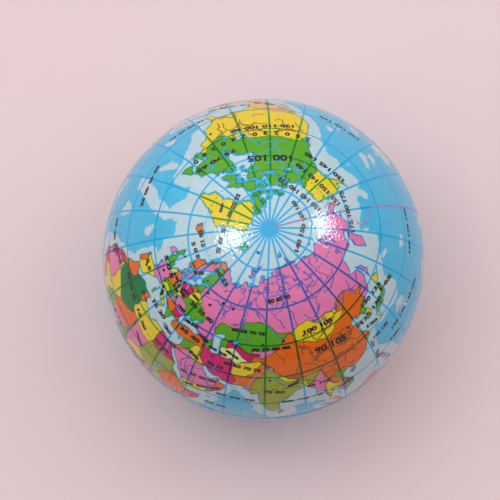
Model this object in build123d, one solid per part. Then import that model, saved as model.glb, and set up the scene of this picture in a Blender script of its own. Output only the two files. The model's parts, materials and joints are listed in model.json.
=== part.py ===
from build123d import *
import os

# A foam stress ball printed as a world globe, in millimetres.
# The polar axis is +Z with north up, -Y runs through longitude 0 at the equator, and
# the origin is the middle of the small flat that the ball's own weight presses at its
# south pole, so the table is the plane z = 0.
#
# One moulded foam core is skinned with two printed film halves, which meet at the
# equator, the mould's parting line. The core's flash shows as a thin line between them.

# Driving dimensions
ball_diameter = 63.0
film_thickness = 0.3
bond_line = 0.05        # adhesive layer between the core and either film
seam_gap = 0.4          # the film rims stay this far apart at the equator
flash_thickness = 0.3   # the core's flash, which fills the seam
flash_recess = 0.05     # the flash is trimmed this far below the films
flat_depth = 0.2        # how far the weight presses the lowest point up

# Worked out
ball_radius = ball_diameter / 2
core_radius = ball_radius - film_thickness - bond_line
centre_height = ball_radius - flat_depth
envelope = 2 * ball_diameter


def slab(bottom, top):
    """Everything between two levels, wider than the ball."""
    level = Pos(0, 0, (bottom + top) / 2)
    return level * Box(envelope, envelope, top - bottom)


def pressed_ball(radius):
    """A solid ball about the globe's centre, flattened in step with the outer skin."""
    layer_depth = ball_radius - radius
    return (Pos(0, 0, centre_height) * Sphere(radius)) & slab(layer_depth, envelope)


def film_half(bottom, top):
    """The part of the film's shell that lies between two levels."""
    shell = pressed_ball(ball_radius) - pressed_ball(ball_radius - film_thickness)
    return shell & slab(bottom, top)


def foam_core():
    """The moulded core, with its flash standing out round the equator."""
    flash = slab(centre_height - flash_thickness / 2, centre_height + flash_thickness / 2)
    return pressed_ball(core_radius) + (pressed_ball(ball_radius - flash_recess) & flash)


sub_parts = {
    "foam_core": foam_core(),
    "film_north": film_half(centre_height + seam_gap / 2, envelope),
    "film_south": film_half(-envelope, centre_height - seam_gap / 2),
}

os.makedirs("parts", exist_ok=True)
for node, shape in sub_parts.items():
    export_step(shape, f"parts/{node}.step")
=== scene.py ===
"""A stress ball printed as a globe: a printed film in two halves round a foam core."""
import json
import math
from functools import partialmethod

import bpy
import numpy as np
from mathutils import Matrix, Vector


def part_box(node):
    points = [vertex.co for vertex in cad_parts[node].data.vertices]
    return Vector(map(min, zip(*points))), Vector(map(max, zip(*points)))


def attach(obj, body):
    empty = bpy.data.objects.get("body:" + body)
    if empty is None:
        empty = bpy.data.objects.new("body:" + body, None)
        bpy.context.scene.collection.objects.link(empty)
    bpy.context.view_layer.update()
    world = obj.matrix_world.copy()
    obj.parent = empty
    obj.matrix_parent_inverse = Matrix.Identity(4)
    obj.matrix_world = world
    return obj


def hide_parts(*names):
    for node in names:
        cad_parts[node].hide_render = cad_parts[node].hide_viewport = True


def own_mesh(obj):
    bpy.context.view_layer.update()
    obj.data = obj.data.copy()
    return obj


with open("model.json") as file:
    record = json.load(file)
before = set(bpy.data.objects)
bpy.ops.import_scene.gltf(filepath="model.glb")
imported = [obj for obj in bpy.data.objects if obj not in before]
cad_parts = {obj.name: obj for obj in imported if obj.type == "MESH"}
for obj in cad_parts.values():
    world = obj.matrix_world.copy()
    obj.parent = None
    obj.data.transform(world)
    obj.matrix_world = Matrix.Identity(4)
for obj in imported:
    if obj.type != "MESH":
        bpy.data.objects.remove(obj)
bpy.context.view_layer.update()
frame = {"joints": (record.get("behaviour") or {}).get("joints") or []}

# ---------------------------------------------------------------- sizes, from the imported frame
MM = 0.001
FAR, TINY = 1e9, 1e-9
NORTH_LOW, NORTH_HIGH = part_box("film_north")
SOUTH_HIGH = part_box("film_south")[1]
CORE_LOW, CORE_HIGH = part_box("foam_core")
SEAM_LEVEL = (NORTH_LOW.z + SOUTH_HIGH.z) / 2
SEAM_HALF_GAP = (NORTH_LOW.z - SOUTH_HIGH.z) / 2
TOP = NORTH_HIGH.z
RADIUS = TOP - SEAM_LEVEL
RADIUS_MM = RADIUS / MM
CORE_RADIUS = CORE_HIGH.z - SEAM_LEVEL
FLASH_RADIUS = CORE_HIGH.x
FLASH_HALF = 0.15 * MM
FILM = 0.3 * MM
SQUEEZE = next(joint for joint in frame["joints"] if joint["name"] == "squeeze")
KEEP = 1 - SQUEEZE["range_m"][1] / TOP

# ---------------------------------------------------------------- the map
# A row is a name, then an ink where the table has inks, then corners as longitude,latitude in
# degrees. An indented line goes on with the row above it.

# The coasts, each with the ink that its land starts with.
COASTS = """
Eurasia pink -9,37 -9.5,38.7 -9,43 -2,43.5 -1.2,46 -4.7,48.2 -1.8,48.7 -1.8,49.7 1.6,50.9 4,52 5,53.4
 8,53.8 8.2,56.8 10.6,57.7 10.3,56.3 9.8,54.8 11,54.2 14,54.2 18.5,54.7 21,55.3 21.2,57 22.6,57.7
 24.2,57.2 23.5,58.8 28,59.6 30,59.9 28,60.6 22.5,60 21.3,61 21.5,63 25,65 22.5,65.8 21,64.5 17.5,62.5
 17.3,60.7 18.8,60 16.7,57.5 15.5,56.2 12.9,55.5 12,57.5 10.7,59.2 8,58.1 5.6,58.8 5,61.5 9,63.5 12,65.5
 14.5,67.8 18,69.5 22,70.6 26,71 31,70.3 33,69.4 41,67.3 40.5,66.3 33,66.6 34.8,64.5 38,64 40,65.5 44,66
 43.8,68.5 46,68 46.5,67 53,68.7 59,68.7 60.5,69.7 67,68.6 67,71.5 70,73.2 72.8,72.6 72.5,69 74,71.5
 80,73.6 87,75 98,76.2 104.3,77.7 113,75.7 110,74 113,73.6 123,73 127,73.5 129.5,71 133,71.6 139.5,71.6
 140,72.4 150,71.5 160,69.7 168,69.8 171,69 178,69.4 -178.5,68.2 -170,66.1 -172.5,64.4 -178,66 177.5,64.7
 179.5,62.5 174,61.7 170.3,60 166,60 163.3,58 161.9,55.5 160,53.2 156.7,51 155.7,55 156.5,57.3 163,61.2
 164.5,62.5 156.5,61.5 154.8,59.4 149,59.4 143,59.3 138,56 135.5,54.8 138,53.8 141.2,53 140.5,50 140.3,48
 138,46.2 135,43.5 132,43.2 130.7,42.3 127.5,39.8 129.4,37 129.3,35.4 126.5,34.4 126.5,37.5 125,38
 125,39.6 121.5,38.9 122,40.7 118,39.1 119,37.4 122.5,37.2 119.3,35 121.8,32 122,29.5 120,26.5 118.5,24.6
 114.2,22.3 110.5,21.2 110,20.3 108,21.6 106,20 105.7,18.8 108.8,15.5 109.3,12 107,10.4 105,8.7 104.8,10.3
 102.3,12.2 100.9,13.4 100,13.3 99.3,10 100.3,8.3 102,6.3 103.4,4 104.2,1.4 103.4,1.3 101.3,2.9 100.3,5.5
 98.3,8 98.6,11 97.7,15.5 97,17 94.3,16 94.5,18.5 92.3,20.8 91,22.6 87,21.5 85,19.5 82.3,16.7 80.2,15.5
 79.9,10.3 78,8.6 76.3,10 74.8,13 73.4,16.5 72.8,21 70.5,20.8 69,22.3 67.5,23.8 66.6,25.3 61.5,25.1
 57.3,25.7 56.5,27.1 54,26.6 51.5,27.9 50.2,30 48.5,30 48.8,27.7 50.2,26.5 51.3,24.6 54,24.2 56.3,26
 56.6,24.4 59.8,22.5 57.8,19 55.3,17.4 52.2,15.6 45,12.8 43.4,12.7 42.5,16.5 39,21.5 38,24 35,28.2
 34.8,29.5 34.3,27.9 32.6,29.9 32.3,31.2 34.3,31.3 35.7,34 36,36.6 32.5,36.1 30.5,36.6 28,36.7 26.5,38.5
 26.3,40 29,41 31.5,41.3 35,42 38.5,40.9 41.5,41.5 39,43.9 37,45.3 39,47.2 35.3,46.3 35.3,45.2 33.5,44.5
 32.7,45.7 31,46.6 29.7,45.2 28,43.3 28.2,41.6 29,41.15 26.2,40.4 26,40.9 23.8,40.6 24,38 22.5,36.5
 21.3,37.6 20.2,39.7 19.4,41.5 15,44.2 13.7,45.3 12.3,45.3 12.4,44.2 13.8,42.8 16,41.8 18.4,40.1 17,40.5
 17,39 15.7,38 15.8,39.8 12.5,41.5 10.4,43.1 8.8,44.4 6.5,43.2 3.3,43.3 3.1,41.8 -0.2,39.5 -0.3,38.4
 -2,36.8 -5.6,36.1
Africa yellow -6,35.8 -2,35.1 3,36.9 9.8,37.3 11,37 10.2,34 15.2,32.3 19,30.3 20.5,32.7 25,31.6 29,30.9
 32.3,31.2 32.5,29.9 35.5,24 37.2,21 38.5,18 43,12.3 43.2,11.5 44.5,10.4 51.2,11.9 50.5,9.5 48,4.5 42.5,-1
 39.5,-4.5 39,-6.5 40.6,-10.7 40.6,-15 36.9,-17.9 34.8,-19.9 35.5,-24 32.9,-25.5 32.5,-28 30,-31.3
 27,-33.8 20,-34.8 18.3,-34.1 17.2,-29.5 14.5,-22.5 11.8,-17.5 13.8,-11 12.2,-6 9,-1 9.4,3.5 7,4.4 4.3,6.3
 -2,4.8 -7.7,4.4 -12,7.5 -13.3,9.3 -16.7,12.3 -17.5,14.7 -16.3,17 -17,21 -14.5,26 -10,29.5 -9.7,31.5
 -6.8,34
NorthAmerica green -168,65.6 -162,66.4 -166.5,68.3 -156.5,71.3 -141,69.7 -135,69 -128,70.2 -115,68.7
 -108,68 -96,68 -94,71.8 -92.5,69.7 -90,68.8 -82,69.5 -81.5,67.5 -86,66.3 -87.5,64.7 -93,62.5 -94.5,59
 -92.5,57 -88,56.6 -82.3,55.2 -82.2,53 -80,51.3 -78.8,52.5 -76.7,56.5 -78.5,58.8 -77.5,62.2 -73.5,62.4
 -69.7,60.9 -67,58.5 -64.6,60.4 -62,57 -57.5,54.7 -56,52 -60,50.2 -66.5,50.2 -70,47.2 -65,49.2 -64,46
 -61,46 -63.5,44.5 -66,43.6 -64.8,45.4 -67,44.8 -70.5,43.2 -70,41.7 -74,40.6 -76,36.8 -75.6,35.2 -78,33.9
 -81,32 -81.3,30 -80,27 -80.4,25.2 -81.8,26.2 -82.8,28.5 -84,30 -89.3,30.3 -89.3,29.1 -94,29.6 -97.3,27.8
 -97.8,22.5 -96,19.2 -94.3,18.2 -91.5,18.6 -90.4,21 -87,21.5 -88.6,16 -83.3,15 -83.7,11 -82,9 -79.6,9.5
 -77.2,8.7 -77.9,7.3 -80.3,7.5 -83,8.3 -85.8,10 -87.6,12.9 -91.5,14 -94.8,16.2 -99.8,16.7 -103.5,18.2
 -105.6,20.3 -106.5,23.5 -109.5,26.5 -112.5,29.8 -114.7,31.7 -112.8,28.5 -109.5,23 -112,24.7 -115,27.8
 -117.1,32.5 -120.6,34.6 -123.8,39.3 -124.4,42.8 -124.7,48.4 -122.5,48.3 -127.5,51 -130,54.5 -136.5,58.3
 -140,59.7 -148,60.8 -151.7,59.2 -151,61.2 -154,59 -158.3,56 -164.7,54.6 -160.5,56 -157.3,58.7 -162,58.6
 -162.5,60 -165.5,61.2 -164.5,63 -161,64.3 -165.5,64.5
SouthAmerica green -77.3,8.6 -75.5,10.7 -71.7,12.2 -71.5,11 -68.3,10.9 -62,10.7 -60,8.5 -57,6 -51.7,4.2
 -50,1 -48,-0.8 -44,-2.6 -39.5,-3 -35.2,-5.3 -35,-8.5 -38.8,-13 -39.2,-17.5 -41,-22 -48.5,-26 -49,-28.7
 -53.5,-34 -58,-34.2 -57,-36.5 -58.5,-38.5 -62.2,-39.5 -65,-41 -65,-43.5 -67.5,-46 -65.8,-47.8 -69,-51
 -65.3,-54.8 -70,-55.2 -74,-52 -75.4,-47 -73.5,-41.5 -73.5,-37.5 -71.5,-32.5 -70.4,-25 -70.2,-18.5
 -76,-14.5 -79,-8 -81.2,-5 -80,-2.8 -80.4,0 -78.7,1.6 -77.2,4 -77.9,7.3
Australia orange 114,-22 114,-26 115.5,-33.5 118,-35 123.5,-33.9 129,-31.6 134,-33 137.6,-35 140,-38
 144.5,-38.3 147,-38.8 150,-37 153,-31 153,-26 149,-20.5 146,-19 145.3,-15 142.5,-10.8 140.8,-17.4 136,-15
 136.8,-12.2 132,-11.5 129.5,-14.8 126,-14 122.2,-18 117,-20.7
Antarctica ice -58,-63 -62,-66 -60,-72 -50,-77.5 -35,-78 -20,-73 0,-70 25,-70 50,-67 70,-69 80,-67.5
 110,-66 140,-67 165,-71 165,-78 -165,-78.5 -150,-77 -125,-73.5 -100,-73 -75,-73 -68,-68
Greenland yellow -73,78.3 -67,80.5 -60,82 -40,83.3 -22,82.3 -12,81.4 -18,79 -19.5,76 -22,72 -22,70.3
 -32,68 -37,65.8 -42,62.5 -43.5,60 -48,61 -52,64.5 -53.7,67 -51,69.5 -55,72 -58,75.5 -66,76.2 -70,77
Iceland orange -24,65.6 -22,66.3 -16,66.5 -13.7,65 -18.7,63.4 -22.5,63.9 -22,64.8
Britain green -5.5,50.1 1.3,51.2 1.7,52.7 0,53.5 -1.5,55 -3,56 -2,57.6 -5,58.6 -6,56.7 -4.8,54.8 -3,54
 -4.6,53 -5,51.8 -3,51.5
Ireland pink -10,52 -6.3,52.2 -5.6,54.5 -7.4,55.3 -10,54.2
NovayaZemlya pink 52,71.3 56,70.7 57,73.5 68,76.8 61,76.3 53.5,73.5
Svalbard green 12,79.7 18,76.7 24,78.3 27,80.1 18,80.2
SevernayaZemlya pink 95,79 100,78.5 105,79.2 97,81
NewSiberianIslands pink 138,75.3 147,75.2 150,75 142,74
FranzJosefLand pink 47,80.3 60,80.3 60,81.5 50,81.3
Sakhalin pink 142.2,54.2 143.5,52 143.3,49.3 144.5,49 143,47 142,46 141.9,50
Hokkaido yellow 140.2,42 141.7,45.4 145.4,43.3 143.2,42
Honshu green 140.5,41.3 141.6,41.2 142,39.5 140.8,35.8 137,34.7 135.8,33.5 131,34 132.7,35.5 136.8,37.3
 138.8,37.8 140,40
Kyushu yellow 130,33.5 131.7,33.6 131.4,31.4 130.3,31.2
Shikoku yellow 132.4,33 134.7,34.2 134,33.3
Taiwan orange 121.5,25.3 120.8,22 120.1,23.2
Hainan orange 108.8,19.3 110.8,20 110.4,18.7 109,18.3
Luzon magenta 120.6,18.5 122.2,18.4 121.6,15.8 124,13 120.7,13.8 120.2,16
Mindanao magenta 122,7 125.6,9.8 126.5,7 125.4,5.8
Visayas magenta 122,11.8 125,12.3 124,10
Palawan magenta 117.3,8.4 119.4,11.2 119.2,10.2
Borneo orange 109,1.5 111.5,2.5 115,5 117,7 119,5.2 117.7,2.5 119,1 116.3,-3.8 110.2,-2.9 109,-0.5
Sumatra orange 95.3,5.6 97.8,5.1 103.5,0 106,-3 105.8,-5.8 102.3,-4 98.7,1.7
Java yellow 105.3,-6.7 108.5,-6.7 114.4,-7.7 114.5,-8.7 106.5,-7.4
Sulawesi yellow 119.8,0.5 125,1.5 120.5,0.2 123.3,-1 121.5,-2 122.7,-5 120.3,-5.5 119,-3
NewGuinea yellow 131,-0.8 134,-0.9 135,-3.3 141,-2.6 147.8,-6 150.7,-10.6 146,-8.5 141,-9.1 138,-8.2
 138,-5.5 133,-4
SriLanka pink 79.8,9.5 81.8,7.5 80.5,6 79.8,7
Madagascar pink 49.3,-12 50.5,-15.6 47.2,-25 44,-25 43.3,-22 44.5,-16.2
Cuba pink -84.9,21.9 -82.5,23.1 -77,21.6 -74.2,20.2 -77.7,19.9 -78.5,21.3
Hispaniola yellow -74.4,18.4 -73,19.9 -68.4,18.7 -71.5,17.9
Newfoundland green -59.3,47.7 -55.6,51.5 -53,47 -55.5,47
Baffin green -66,62 -72,63.5 -78,64.5 -73.5,66.5 -72.5,68 -79,69.9 -89,70.2 -89.5,73.3 -81,73.7 -73,71.5
 -67.5,69 -61.5,66.7 -68,66 -64,63.5
Victoria green -117,69 -105,68.7 -101.8,69.7 -105,73 -115,73.3 -119,71.5
Banks green -125,72 -123,71.2 -117,73 -123,74.2
Southampton green -87,65.5 -81,64 -86,64
Ellesmere green -62,82.5 -75,79 -79,76.3 -89,76.4 -87,79 -92,81.2 -75,83
Devon green -80,75.7 -80,74.6 -92,74.8 -92,76.5
AxelHeiberg green -88,79 -93,81.3 -96,80 -90,78.2
Melville green -106,75 -117,75.2 -117,76.5 -109,76.5
PrinceOfWales green -97,71.8 -102,72.8 -97,73.8
VancouverIsland green -128,50.8 -123.5,48.4 -125,48.7
NewZealandNorth pink 172.8,-34.5 178.4,-37.7 175.3,-41.6 173.8,-39.3 174.7,-37
NewZealandSouth pink 172.7,-40.6 174.2,-41.7 170.7,-45.8 168.5,-46.6 166.5,-46 171,-42.5
Tasmania green 144.8,-41 148.3,-41 147,-43.6
Sicily yellow 12.5,38 15.6,38.2 15.1,36.7
Sardinia yellow 8.4,41 9.7,41 9.5,39.2 8.4,39
Corsica pink 8.6,42.6 9.4,43 9.4,41.5
Cyprus orange 32.3,35 34.5,35.6 33.5,34.7
Crete green 23.6,35.4 26.2,35.3 24.8,34.9
Somerset green -95,72.2 -90.5,72.5 -90.3,73.8 -95,74
Bathurst green -103,75.5 -98,75 -98,76.6 -102,76.4
Cornwallis green -96,74.7 -93.6,74.7 -94,75.6 -96.5,75.4
PrincePatrick green -123,76 -117,75.9 -117,77.4 -121,77.2
Ringnes green -105,77.4 -99,77.8 -99,79.2 -105,79
KingWilliam green -99,68.6 -95.5,68.6 -95.5,69.5 -99,69.9
PrinceCharles green -77.5,67.3 -74.5,67.3 -75,68.4 -78,68.2
Bylot green -81,73.2 -76.5,72.9 -79,73.9
Coats green -84,62.2 -80.8,62.6 -82.5,63.3
Gotland pink 18.2,57 19.3,57.9 18.5,58
Zealand orange 11,55.2 12.6,55.1 12.4,56.1 11.2,55.8
Falklands pink -61,-51.3 -57.8,-51.5 -59.5,-52.3
Socotra pink 53.3,12.3 54.6,12.6 53.6,12.8
Hawaii yellow -156,19 -154.8,19.6 -156,20.3
Kurils pink 146,43.6 148.6,45.4 147.4,45
Timor yellow 123.5,-10.4 127.2,-8.4 124.8,-8.9
Halmahera yellow 127.5,-0.8 128.8,0.6 127.6,2.2
"""
# Water inside the coasts.
LAKES = """
Caspian 47,44.5 49,46.5 53,46.9 53.2,45.2 50.8,44.4 52.7,42 53.7,37.2 51,36.7 49,37.6 50,40.3 47.6,43
Aral 58.5,44.5 61.5,46.7 61,44.5 59,43.7
Baikal 104,51.7 108,53.5 109.8,55.8 108,54.2
Superior -92,46.8 -88,48.8 -84.8,46.6 -88,46.8
Michigan -87.5,41.7 -85.3,45.8 -87.8,44
Huron -84,46 -80,45 -82.4,43.2 -83.5,45
Erie -83,41.7 -79,42.8 -81,41.8
Ontario -79.7,43.3 -76.3,44 -77,43.3
GreatBear -124,66.4 -119,67 -118,65 -122,65
GreatSlave -116.5,61.2 -109.5,62.7 -113,62.2
Winnipeg -99,53.5 -96.5,51 -98,51.2
LakeVictoria 31.7,-0.5 34,-0.3 33.5,-2.6 32,-2.5
"""
# Painted over the land in this order; an outline may run out to sea, where it prints nothing.
REGIONS = """
UnitedStates yellow -125,49 -95,49 -89,48 -84.5,46.5 -82.5,43 -79,43 -76,44.5 -71,45.2 -69,47.4 -67,44.5
 -66,40 -79,24 -97,25.9 -99.5,27.5 -101.4,29.8 -104.5,29.5 -106.5,31.8 -111,31.3 -114.8,32.6 -125,32.5
Alaska yellow -141,71 -141,60.3 -137,58.5 -130,55 -132,53 -170,50 -172,66 -165,73
Mexico peach -118,32.6 -111,31.3 -106.5,31.8 -104.5,29.5 -101.4,29.8 -99.5,27.5 -97,25.9 -96,22 -85,22
 -88,18 -91,17.5 -92.2,14.5 -106,15 -118,28
Honduras pink -89.5,15 -88,17 -82.5,15.5 -87,12.5
Nicaragua yellow -87.5,13 -82.5,15.2 -83,11 -86,10.8
Panama pink -86,11 -83.5,11 -77,9 -77.5,7 -86,8
Kazakhstan green 47,48 50,51.5 55,51 61,51 61.5,54 70,55.3 77,53.5 80,51 87,49 85,47 82.5,45.5 80.3,43
 76,43 71,42.3 68,41.2 66,42 61,44.3 58.5,45.5 56,45 56,41.5 52.5,42 49,44
Uzbekistan magenta 56,41.3 56,45 58.5,45.5 62,43.5 66,42 69,41.3 73,40.8 71,39.8 68,38.2 66.5,37.4 64,39.5
 60,42
Turkmenistan straw 53,42 56.5,41.5 60,42.2 62,40.3 66.5,37.5 62,35.4 59,37.5 54,37.3
Kyrgyzstan pink 71,42.8 80,42.3 74,39.6
Tajikistan orange 67.8,38 70.5,40.3 74.8,38.5 72,36.8
China orange 73.5,39.5 80.2,42.3 80.3,45 82.5,45.3 85.5,48.3 87.5,49 91,45.3 97,42.8 105,41.7 110,42.7
 112,45 120,47 116,48 116.7,49.8 120,53 125.5,53 131,47.7 135,48.3 131,45 131,43 128,42 124.5,40 124,30
 121,20 108,21.5 105.5,23 102,22.3 101.5,21.3 98.5,24 98,28 92,27.9 88.5,28 82,30.2 79,32.5 78,35.5
 74.5,37.3
Mongolia yellow 87.8,49 92,50.7 98.3,52 102,50.5 107,49.8 116.7,49.8 116,48 120,46.8 112,45 110,42.7
 105,41.7 97,42.8 91,45.3
NorthKorea green 124,40 128,42 131,42.8 128.5,38.3 124.5,37.8
SouthKorea yellow 126,37.8 128.5,38.5 130,35 125.5,34
Afghanistan yellow 61,35.3 64.5,36.2 71.5,38 74.5,37.2 71,34 69.5,32 66.5,29.8 61,29.8
Pakistan orange 61.6,29.7 66.5,30 69.5,32 71,34.3 74.5,37 77,35.5 74.5,32 71,28 70,25.5 68.5,23.5
 61.5,24.5
India olive 68,23 70,25.5 71,28 74.5,31.8 75,34.8 79,33 81,30.2 88,27.3 92,27.8 97,28.5 94.5,24 92.5,22
 92,25 89,26 88.7,22 90,15 78,6 70,15
Nepal yellow 80.2,29.8 82,30.2 88,27.9 88,26.6 81,28.5
Bangladesh yellow 88.3,24.5 89,26.2 92,25 92,21.5 89,21.5
Myanmar pink 92.3,21 94.5,24.5 97.5,28.3 98.5,25 101,21.8 98,19 98.8,15 99,10 93,15
Thailand yellow 97.5,18.5 100,20.3 101,17.6 104.5,17 105,14.3 102.7,12 100,13 101.5,5.8 98,7 99.3,12
 98.3,15
Laos orange 100.2,20.5 102,22.3 104.5,20 107.5,15.5 106,14.2 105,17 102,18
Cambodia pink 102.4,13.8 107.5,14.3 106,11 103,10.4
Vietnam green 102.3,22.3 105,23.2 108,21.5 105.5,18 110,14 109,11 104.8,8.5 106.5,11.3 107.6,15 104,19.5
Malaysia orange 100,6.5 102.2,6.2 104.5,1.2 101,2.5
Iran magenta 44,39.8 48,39.5 49,38 54,37.3 59,37.5 61.2,35.5 60.8,31 63,27.3 61.5,25 57,26 54,26 48.5,29.8
 46,33 45,36
Turkey orange 25.5,36 25.5,40.3 26.5,42 28,42 36,42.5 43,41.3 44.5,39.7 44.5,37.2 38,36.8 36,36 30,35.5
Georgia magenta 40,43.5 46.5,41.8 43,41.2
Azerbaijan green 45,41.3 48.5,42 50.5,40.3 48.8,38.4 46,39
Iraq yellow 42.3,37.2 45,37 46,33 48.5,30 46.5,29.1 40,32 41,34.5
Syria green 35.7,33 36,36.7 42.3,37.2 41,34.5 39,32.5
Yemen yellow 42.5,17 47,17.2 52,19 53.2,16.5 45,12 42,13
Oman orange 52,19 55,20 55.5,23.5 56.5,25 60.5,22.5 53,16.3
Jordan orange 34.2,31.3 35,29.4 39,32 35.7,33.3
Spain yellow -9.3,44.2 -1.7,43.4 3.3,42.5 4,40 -1,36 -6,35.9 -7.4,37.2 -7,41.8
Portugal orange -10,42.1 -6.6,41.9 -7.4,37 -10,36.5
Benelux yellow 2.5,51.2 4.5,53.8 7,53.3 6.2,49.5
Germany orange 6.1,49.5 7,53.5 8.5,55 11,54.5 14.3,54 15,51 12.3,50.2 13.5,48.7 10.5,47.5 7.6,47.6 8,49
Alps green 6,46.3 7.6,47.6 13,48.7 17,48 16,46.7 9,45.9
Italy yellow 6.8,44.2 7,46 10.5,46.8 13.7,46.5 13.7,45.5 19,40 16,37.5 10,43 7.5,43.7
Poland magenta 14.3,54 15,51 18.8,49.5 23,49 24,52 23.5,54 19.5,54.5
Bohemia yellow 12.3,50.2 15,51 18.8,49.7 22.5,49 18,47.8 13.8,48.7
Yugoslavia orange 13.6,45.5 16.3,46.6 20.5,46.2 22.5,44 22.8,41.3 20.5,41 19.5,42 14,44
Greece green 19.3,42 20.5,41.2 26,41.6 26.5,40.5 24,35.5 20,37
Bulgaria magenta 22.6,44.2 28.7,43.7 28,42 22.9,41.5
Ukraine green 22.5,48.8 24,51.7 34,52.2 40,49.5 38,47 36.5,45.3 33.5,44.2 30,45.3 28.2,45.5 26.5,48.2
Belarus yellow 23.7,51.7 24,54 28,56 32,53.5 31,52
Latvia green 21,56.2 28,56 27.8,59.5 23,59.6 21,57
Lithuania orange 20.8,55.2 23.5,54 26.5,55.5 21,56.3
Finland green 21,60 28,60.5 31.5,62.8 29.8,67 28.5,69.8 25.5,69 21,69 24,65.8 20,63
Norway orange 4,57.5 11,58.8 12.3,61 12,63.5 14.5,66 18,68.5 21,69 25,68.6 29,69.3 31,70.5 31,72 4,72
Morocco orange -13,27.7 -8.7,27.7 -8.7,28.8 -1.2,32.2 -2,35.2 -6,36 -12,33
WesternSahara magenta -17.5,20.8 -13,21 -12,23.4 -12,26 -8.7,26 -8.7,27.7 -14,28
Mauritania pink -17.5,20.8 -13,21 -12,26 -5,25 -6.5,25 -5.5,15.6 -12,14.7 -17,15.5
Algeria forest -8.7,27.3 -8.7,28.8 -1.2,32.2 -2,35.2 3,37.5 8.5,37.2 7.5,34 9.5,30.2 10,25 12,23.5 6,19.5
 3,19.2 -5,25
Tunisia orange 8.5,37.5 11.5,37.5 11.5,33.2 9.5,30.3 7.6,34
Egypt magenta 25,32.5 34.3,31.5 34.9,29.5 37,22 25,22
Sudan olive 25,22 37,22 38.6,18 36.5,14.5 34,10 35.5,5 31,3.7 27,5 23.5,9 22,12.5 24,15.7 24,20
Chad pink 15,23 24,19.5 24,15.7 22,12.5 22.8,11 15.5,7.5 14,13 15.5,17
Niger orange 12,23.5 15,23 15.8,20 13.5,13.7 4,12 0.3,15 4.2,19.2 6,19.5
Nigeria pink 4,12 13.5,13.6 14.5,12.5 9,4.5 3,6
Ghana green -3,5 -3,11 0,15 3,12 3,5
Guinea orange -14,7 -17,12 -12,12.5 -8,10 -8,4
Senegal magenta -18,12.5 -18,16 -12,15 -12,12.5
Ethiopia orange 36.5,14.5 38.6,18 43,12.5 42.5,11 48,8 42,4.2 36,4.5 33,8 34,10
Somalia magenta 42,4.2 48,8 43,11 44,12.5 52,12.5 52,10 43,-3 40.5,-2
Kenya pink 34,4.3 41,4 41.5,-1.7 39.3,-4.7 34,-1
Cameroon green 9,4 14.5,12.5 15.5,7.5 16,2 10,2
CongoBasin orange 12.3,-5.8 16.5,-5.8 18,4 27.5,5 31,3.5 29.3,-3 30.5,-8.3 28.5,-12.5 22,-11 17,-8
Gabon magenta 9,2 16,2 18,4 16,-3 12,-5.5
Tanzania forest 29.5,-3 34,-1 41,-5 41,-11 34,-11.5 30.5,-8.3
Angola green 12.3,-5.8 17,-8 22,-11 24,-11 22,-16.5 21.5,-18 11.7,-17.3
Zambia pink 22,-13 24,-11 28.5,-9 33,-9.5 33,-14 27,-18 22,-17.5
Mozambique orange 33,-12 41,-10.5 41,-16 36,-24 32,-27 31.5,-22 33,-16
Botswana orange 20,-18 25,-18 29,-22 26,-25.5 20.5,-27
Namibia magenta 11.5,-17.4 20.5,-18 20.5,-28.5 15,-28.5
SouthAfrica green 15,-28.7 20.5,-28.3 20.5,-26.5 26,-25.5 31.5,-22.5 33.5,-27 28,-36 17,-36
Argentina orange -66,-22 -62.5,-22.5 -58,-27.5 -54,-26 -58,-33 -55,-36 -60,-56 -69,-56 -72,-50 -71.5,-39
 -70,-31 -68.5,-24
Chile yellow -70.5,-17.5 -68,-18.5 -68.5,-24 -70,-31 -71.5,-39 -72,-50 -69,-56 -78,-56 -76,-35
Peru pink -81.5,-4 -75,0 -70,-4 -73,-9.5 -70,-11 -69,-17 -71,-18.5 -78,-15
Bolivia yellow -69.5,-11 -65,-10 -58,-16.5 -58,-20 -62.5,-22.3 -68,-22.5 -69,-17
Paraguay pink -62.5,-20.5 -58,-20 -54.5,-24.5 -55.5,-27.3 -59,-27
Uruguay yellow -58.5,-34.5 -57.5,-30.2 -53,-33 -54,-35
Colombia magenta -79,1.5 -75,0 -70,-4 -67.5,2 -67.5,6 -72,7.5 -72,12.5 -76,11 -77.5,8
Venezuela yellow -67.5,2 -67.5,6 -72,7.5 -72,12.5 -60,11 -60.5,5 -64,2
Guianas orange -60,9 -60.5,5 -56,2 -51.5,4.3 -56,7
Queensland yellow 138,-10 138,-26 141,-29 154,-28.5 150,-10
NewSouthWales green 141,-29 154,-28.5 151,-39.5 141,-38.5
PapuaNewGuinea green 141,-2 141,-10 152,-12 152,-4
"""
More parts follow.
